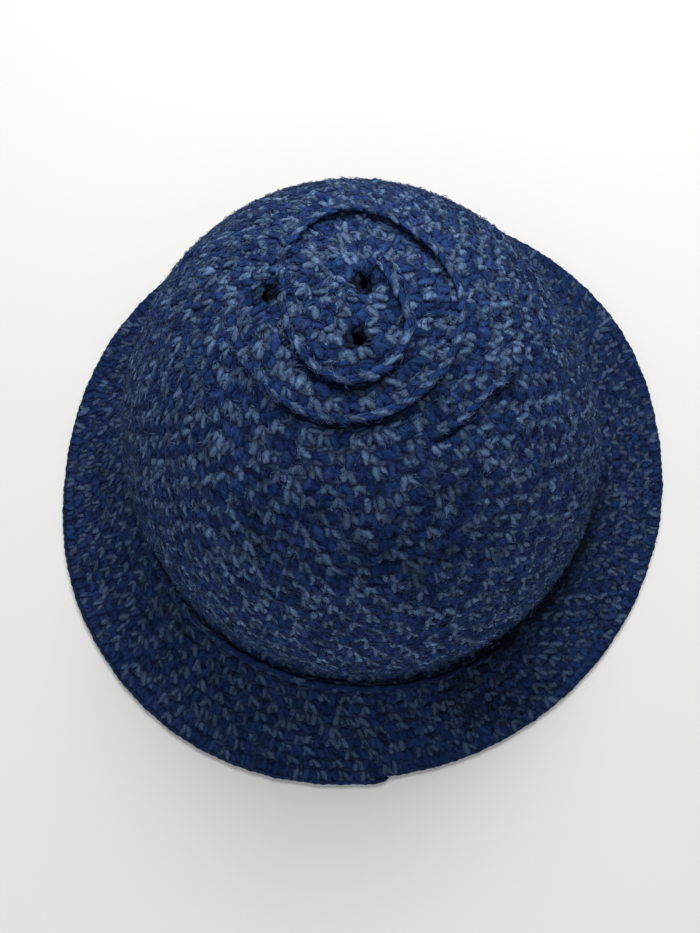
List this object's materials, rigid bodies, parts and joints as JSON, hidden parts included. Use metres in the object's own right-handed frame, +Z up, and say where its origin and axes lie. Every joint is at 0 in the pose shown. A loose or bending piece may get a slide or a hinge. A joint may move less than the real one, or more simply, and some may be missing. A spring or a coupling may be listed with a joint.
{
  "type": "crocheted bucket hat",
  "caption": "Soft crocheted hat in navy and grey yarn: a hollow dome crown with a raised spiral of loops on top and a flared brim that rests on a surface.",
  "frame": {"origin": "middle of the brim's outline, on the surface that the brim rests on", "axes": "+Z up through the crown's top, -Y towards the side where the brim's last round ends"},
  "size_m": [0.2792, 0.2788, 0.1465],
  "materials": {
    "crown_yarn": "matte",
    "brim_yarn": "matte"
  },
  "bodies": {
    "root": {"crown": "crown_yarn", "brim": "brim_yarn"}
  },
  "joints": []
}
